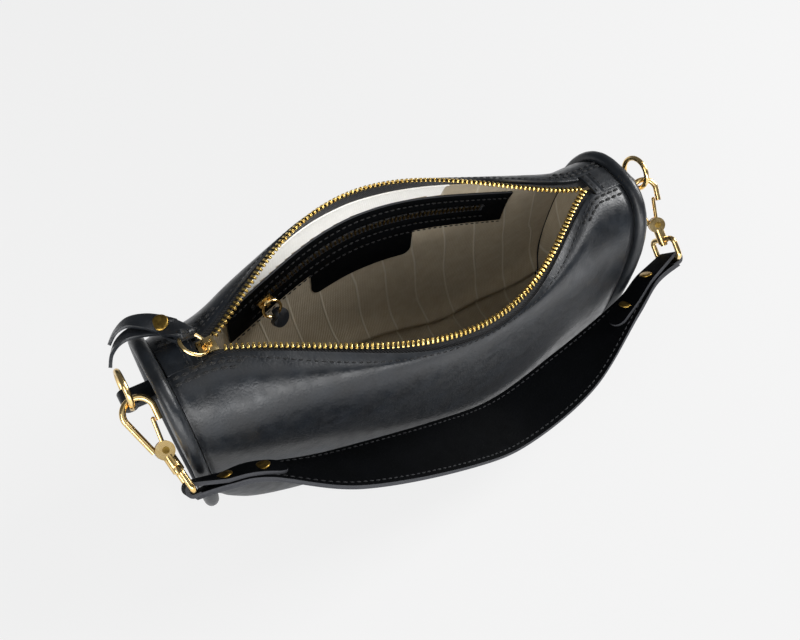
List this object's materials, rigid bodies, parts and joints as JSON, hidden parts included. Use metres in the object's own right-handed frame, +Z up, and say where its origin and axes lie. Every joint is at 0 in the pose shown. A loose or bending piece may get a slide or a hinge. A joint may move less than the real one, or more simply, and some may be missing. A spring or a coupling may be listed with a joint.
{
  "type": "shoulder bag",
  "caption": "Small barrel shoulder bag in smooth leather: open zip mouth, inner zip pocket, side rings in tabs, and a shaped strap on sprung swivel hooks.",
  "frame": {"origin": "on the floor, at the middle of the flat sole under the bag", "axes": "+X along the zip towards its closed-last end, +Y to the back wall with the pocket, +Z up"},
  "size_m": [0.3148, 0.1271, 0.1484],
  "materials": {
    "leather": "smooth black leather",
    "lining": "woven cotton",
    "board": "stiff board",
    "tape": "woven tape",
    "gold": "polished",
    "teeth": "polished"
  },
  "bodies": {
    "bag": {"front_panel": "leather", "back_panel": "leather", "base_sole": "leather", "base_board": "board", "end_panel_left": "leather", "end_panel_right": "leather", "piping_left": "leather", "piping_right": "leather", "bridge_left": "leather", "bridge_right": "leather", "lining_front": "lining", "lining_back": "lining", "lining_end_left": "lining", "lining_end_right": "lining", "zip_tape_front": "tape", "zip_tape_back": "tape", "zip_teeth_front": "teeth", "zip_teeth_back": "teeth", "pocket_facing": "leather", "pocket_bag": "lining", "bare_patch": "leather", "pocket_tape": "tape", "pocket_teeth": "teeth", "tab_left": "leather", "tab_right": "leather"},
    "zip_slider_body": {"zip_slider": "gold"},
    "pull_ring_body": {"pull_ring": "gold"},
    "pull_body": {"leather_pull": "leather", "pull_rivet": "gold"},
    "pocket_slider_body": {"pocket_slider": "gold"},
    "pocket_pull_body": {"pocket_ring": "gold", "pocket_pull": "leather"},
    "ring_left_body": {"side_ring_left": "gold"},
    "ring_right_body": {"side_ring_right": "gold"},
    "strap_body": {"strap": "leather", "strap_rivets_left": "gold", "strap_rivets_right": "gold"},
    "loop_left_body": {"swivel_loop_left": "gold"},
    "loop_right_body": {"swivel_loop_right": "gold"},
    "hook_left_body": {"hook_left": "gold", "gate_pin_left": "gold", "gate_spring_left": "gold"},
    "hook_right_body": {"hook_right": "gold", "gate_pin_right": "gold", "gate_spring_right": "gold"},
    "gate_left_body": {"gate_left": "gold"},
    "gate_right_body": {"gate_right": "gold"}
  },
  "joints": [
    {"name": "zip_slide", "type": "slide", "parent": "bag", "child": "zip_slider_body", "axis": [1, 0, 0], "range_m": [0, 0.208], "deforming": ["zip_tape_front", "zip_tape_back", "zip_teeth_front", "zip_teeth_back"]},
    {"name": "pull_ring_hinge", "type": "hinge", "parent": "zip_slider_body", "child": "pull_ring_body", "pos_m": [-0.10895, 0, 0.1322], "axis": [0, 1, 0], "range_deg": [0, 90]},
    {"name": "pull_hinge", "type": "hinge", "parent": "pull_ring_body", "child": "pull_body", "pos_m": [-0.11662, 0.0062, 0.13663], "axis": [0.8138, 0.342, -0.4698], "range_deg": [0, 50]},
    {"name": "pocket_slide", "type": "hinge", "parent": "bag", "child": "pocket_slider_body", "pos_m": [0.00451, -0.01714, -0.02309], "axis": [0.0379, 0.9209, -0.388], "range_deg": [0, 49.1]},
    {"name": "pocket_pull_hinge", "type": "hinge", "parent": "pocket_slider_body", "child": "pocket_pull_body", "pos_m": [-0.06411, 0.0325, 0.09741], "axis": [-0.9146, -0.135, -0.381], "range_deg": [0, 80]},
    {"name": "ring_left_tilt", "type": "hinge", "parent": "bag", "child": "ring_left_body", "pos_m": [-0.1485, 0, 0.1147], "axis": [0, 1, 0], "range_deg": [-5, 5]},
    {"name": "ring_right_tilt", "type": "hinge", "parent": "bag", "child": "ring_right_body", "pos_m": [0.151, 0, 0.1147], "axis": [0, 1, 0], "range_deg": [-5, 5]},
    {"name": "strap_swing", "type": "hinge", "parent": "bag", "child": "strap_body", "pos_m": [0, 0, 0.1235], "axis": [-1, 0, 0], "range_deg": [0, 140]},
    {"name": "loop_left_hinge", "type": "hinge", "parent": "strap_body", "child": "loop_left_body", "pos_m": [-0.13941, -0.04328, 0.09381], "axis": [0, -0.5652, 0.8249], "range_deg": [0, 2]},
    {"name": "loop_right_hinge", "type": "hinge", "parent": "strap_body", "child": "loop_right_body", "pos_m": [0.15315, -0.0423, 0.09165], "axis": [0, -0.6045, 0.7966], "range_deg": [0, 1]},
    {"name": "hook_left_swivel", "type": "hinge", "parent": "loop_left_body", "child": "hook_left_body", "pos_m": [-0.14197, -0.03177, 0.10169], "axis": [-0.1803, 0.8114, 0.556], "range_deg": [-5, 5]},
    {"name": "hook_right_swivel", "type": "hinge", "parent": "loop_right_body", "child": "hook_right_body", "pos_m": [0.15272, -0.03101, 0.10022], "axis": [-0.03, 0.7963, 0.6042], "range_deg": [-3, 5]},
    {"name": "gate_left_hinge", "type": "hinge", "parent": "hook_left_body", "child": "gate_left_body", "pos_m": [-0.14294, -0.02604, 0.10561], "axis": [0, -0.5652, 0.8249], "range_deg": [0, 20], "stiffness_Nm_per_rad": 0.02, "springref_deg": -11.46},
    {"name": "gate_right_hinge", "type": "hinge", "parent": "hook_right_body", "child": "gate_right_body", "pos_m": [0.15274, -0.02555, 0.10461], "axis": [-0.6425, -0.4784, 0.5986], "range_deg": [0, 20], "stiffness_Nm_per_rad": 0.02, "springref_deg": -11.46}
  ]
}
